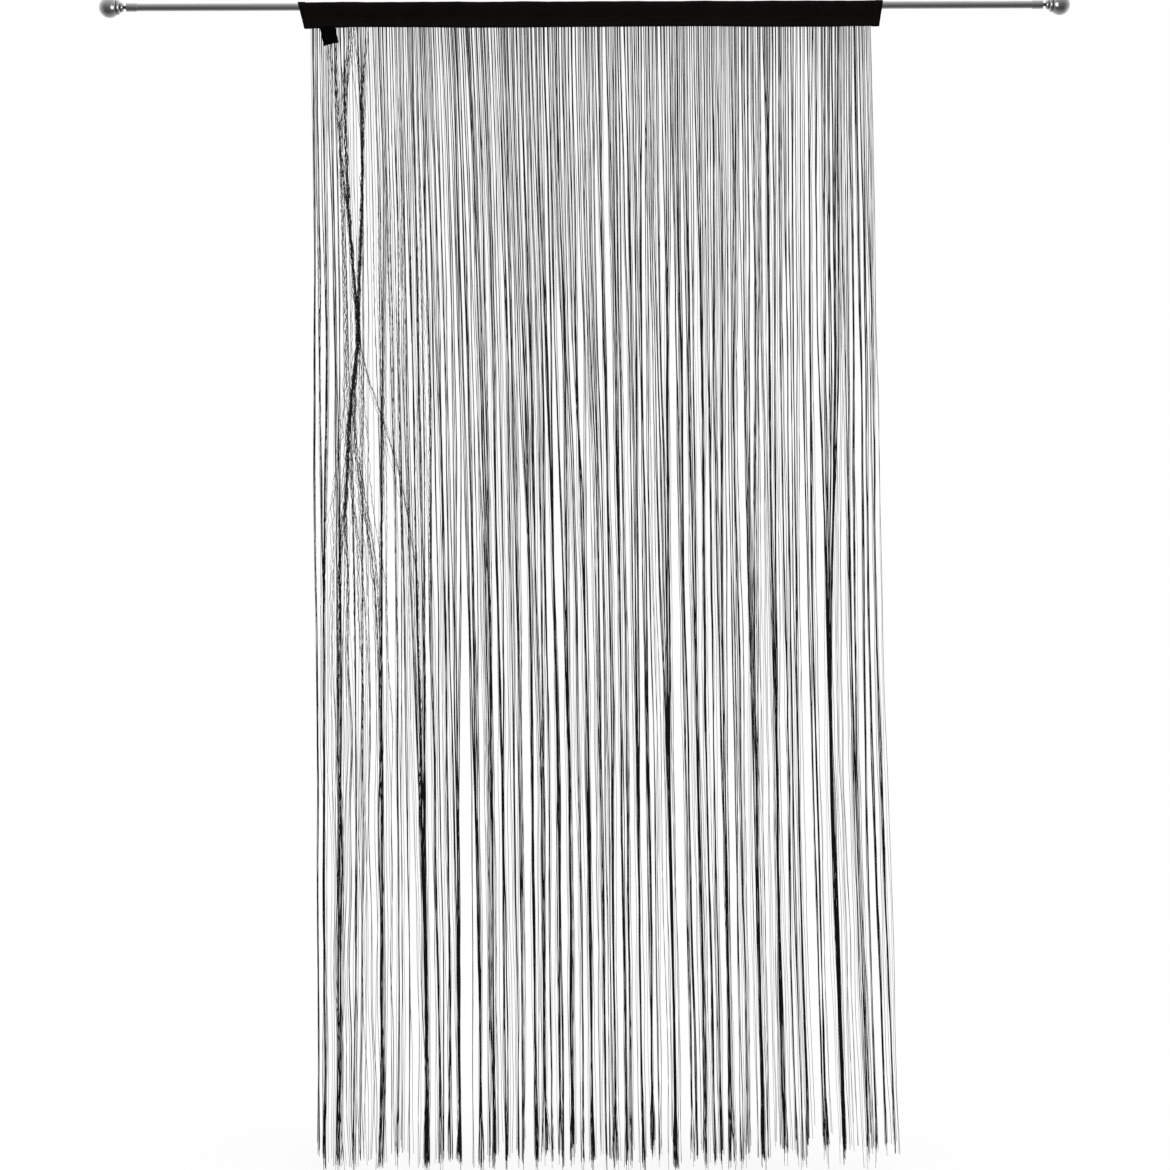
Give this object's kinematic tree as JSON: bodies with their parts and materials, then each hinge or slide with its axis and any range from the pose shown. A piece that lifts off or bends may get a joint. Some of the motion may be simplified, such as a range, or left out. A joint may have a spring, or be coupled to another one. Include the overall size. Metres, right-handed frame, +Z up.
{
  "type": "string curtain",
  "caption": "String curtain on a metal rod: a cloth sleeve slides on the tube, cut strings hang from its hem and swing, and ball finials close the rod's ends.",
  "frame": {"origin": "on the rod's axis at its mid length", "axes": "+X along the rod to the right as seen from the room, -Y to the room, +Z up"},
  "size_m": [1.6652, 0.036, 2.0103],
  "materials": {
    "rod_metal": "satin nickel plate on a drawn tube, brushed along its length",
    "finial_metal": "satin nickel plate, turned",
    "stud_steel": "plain dark thread",
    "header_cloth": "matt black woven cloth",
    "tape_knit": "matt black knitted tape",
    "string_yarn": "soft twisted black polyester yarn",
    "label_satin": "black satin ribbon, bare"
  },
  "bodies": {
    "rod": {"rod_tube": "rod_metal"},
    "cap_left": {"rod_end_cap_left": "rod_metal"},
    "cap_right": {"rod_end_cap_right": "rod_metal"},
    "finial_left": {"finial_stud_left": "stud_steel", "finial_collar_left": "finial_metal", "finial_ball_left": "finial_metal"},
    "finial_right": {"finial_stud_right": "stud_steel", "finial_collar_right": "finial_metal", "finial_ball_right": "finial_metal"},
    "header": {"header_sleeve": "header_cloth", "heading_tape": "tape_knit"},
    "label": {"care_label": "label_satin"},
    "fringe_01": {"strings_01": "string_yarn"},
    "fringe_02": {"strings_02": "string_yarn"},
    "fringe_03": {"strings_03": "string_yarn"},
    "fringe_04": {"strings_04": "string_yarn"},
    "fringe_05": {"strings_05": "string_yarn"},
    "fringe_06": {"strings_06": "string_yarn"},
    "fringe_07": {"strings_07": "string_yarn"},
    "fringe_08": {"strings_08": "string_yarn"},
    "fringe_09": {"strings_09": "string_yarn"},
    "fringe_10": {"strings_10": "string_yarn"},
    "fringe_11": {"strings_11": "string_yarn"},
    "fringe_12": {"strings_12": "string_yarn"},
    "fringe_13": {"strings_13": "string_yarn"},
    "fringe_14": {"strings_14": "string_yarn"},
    "fringe_15": {"strings_15": "string_yarn"},
    "fringe_16": {"strings_16": "string_yarn"},
    "fringe_17": {"strings_17": "string_yarn"},
    "fringe_18": {"strings_18": "string_yarn"},
    "fringe_19": {"strings_19": "string_yarn"},
    "fringe_20": {"strings_20": "string_yarn"}
  },
  "joints": [
    {"name": "header_slide", "type": "slide", "parent": "rod", "child": "header", "axis": [1, 0, 0], "range_m": [-0.273, 0.253]},
    {"name": "cap_left_pull", "type": "slide", "parent": "rod", "child": "cap_left", "axis": [-1, 0, 0], "range_m": [0, 0.03]},
    {"name": "cap_right_pull", "type": "slide", "parent": "rod", "child": "cap_right", "axis": [1, 0, 0], "range_m": [0, 0.03]},
    {"name": "finial_left_turn", "type": "hinge", "parent": "cap_left", "child": "finial_left", "pos_m": [-0.786, 0, 0], "axis": [-1, 0, 0], "continuous": true},
    {"name": "finial_right_turn", "type": "hinge", "parent": "cap_right", "child": "finial_right", "pos_m": [0.786, 0, 0], "axis": [1, 0, 0], "continuous": true},
    {"name": "swing_01", "type": "hinge", "parent": "header", "child": "fringe_01", "pos_m": [-0.4455, 0, -0.0353], "axis": [1, 0, 0], "range_deg": [-40, 40]},
    {"name": "swing_02", "type": "hinge", "parent": "header", "child": "fringe_02", "pos_m": [-0.3975, 0, -0.0353], "axis": [1, 0, 0], "range_deg": [-40, 40]},
    {"name": "swing_03", "type": "hinge", "parent": "header", "child": "fringe_03", "pos_m": [-0.3496, 0, -0.0353], "axis": [1, 0, 0], "range_deg": [-40, 40]},
    {"name": "swing_04", "type": "hinge", "parent": "header", "child": "fringe_04", "pos_m": [-0.3016, 0, -0.0353], "axis": [1, 0, 0], "range_deg": [-40, 40]},
    {"name": "swing_05", "type": "hinge", "parent": "header", "child": "fringe_05", "pos_m": [-0.2536, 0, -0.0353], "axis": [1, 0, 0], "range_deg": [-40, 40]},
    {"name": "swing_06", "type": "hinge", "parent": "header", "child": "fringe_06", "pos_m": [-0.2056, 0, -0.0353], "axis": [1, 0, 0], "range_deg": [-40, 40]},
    {"name": "swing_07", "type": "hinge", "parent": "header", "child": "fringe_07", "pos_m": [-0.1577, 0, -0.0353], "axis": [1, 0, 0], "range_deg": [-40, 40]},
    {"name": "swing_08", "type": "hinge", "parent": "header", "child": "fringe_08", "pos_m": [-0.1097, 0, -0.0353], "axis": [1, 0, 0], "range_deg": [-40, 40]},
    {"name": "swing_09", "type": "hinge", "parent": "header", "child": "fringe_09", "pos_m": [-0.0617, 0, -0.0353], "axis": [1, 0, 0], "range_deg": [-40, 40]},
    {"name": "swing_10", "type": "hinge", "parent": "header", "child": "fringe_10", "pos_m": [-0.0137, 0, -0.0353], "axis": [1, 0, 0], "range_deg": [-40, 40]},
    {"name": "swing_11", "type": "hinge", "parent": "header", "child": "fringe_11", "pos_m": [0.0342, 0, -0.0353], "axis": [1, 0, 0], "range_deg": [-40, 40]},
    {"name": "swing_12", "type": "hinge", "parent": "header", "child": "fringe_12", "pos_m": [0.0822, 0, -0.0353], "axis": [1, 0, 0], "range_deg": [-40, 40]},
    {"name": "swing_13", "type": "hinge", "parent": "header", "child": "fringe_13", "pos_m": [0.1302, 0, -0.0353], "axis": [1, 0, 0], "range_deg": [-40, 40]},
    {"name": "swing_14", "type": "hinge", "parent": "header", "child": "fringe_14", "pos_m": [0.1782, 0, -0.0353], "axis": [1, 0, 0], "range_deg": [-40, 40]},
    {"name": "swing_15", "type": "hinge", "parent": "header", "child": "fringe_15", "pos_m": [0.2261, 0, -0.0353], "axis": [1, 0, 0], "range_deg": [-40, 40]},
    {"name": "swing_16", "type": "hinge", "parent": "header", "child": "fringe_16", "pos_m": [0.2741, 0, -0.0353], "axis": [1, 0, 0], "range_deg": [-40, 40]},
    {"name": "swing_17", "type": "hinge", "parent": "header", "child": "fringe_17", "pos_m": [0.3221, 0, -0.0353], "axis": [1, 0, 0], "range_deg": [-40, 40]},
    {"name": "swing_18", "type": "hinge", "parent": "header", "child": "fringe_18", "pos_m": [0.3701, 0, -0.0353], "axis": [1, 0, 0], "range_deg": [-40, 40]},
    {"name": "swing_19", "type": "hinge", "parent": "header", "child": "fringe_19", "pos_m": [0.418, 0, -0.0353], "axis": [1, 0, 0], "range_deg": [-40, 40]},
    {"name": "swing_20", "type": "hinge", "parent": "header", "child": "fringe_20", "pos_m": [0.466, 0, -0.0353], "axis": [1, 0, 0], "range_deg": [-40, 40]},
    {"name": "label_flap", "type": "hinge", "parent": "fringe_01", "child": "label", "pos_m": [-0.4419, -0.002, -0.0357], "axis": [1, 0, 0], "range_deg": [-110, 0]}
  ]
}
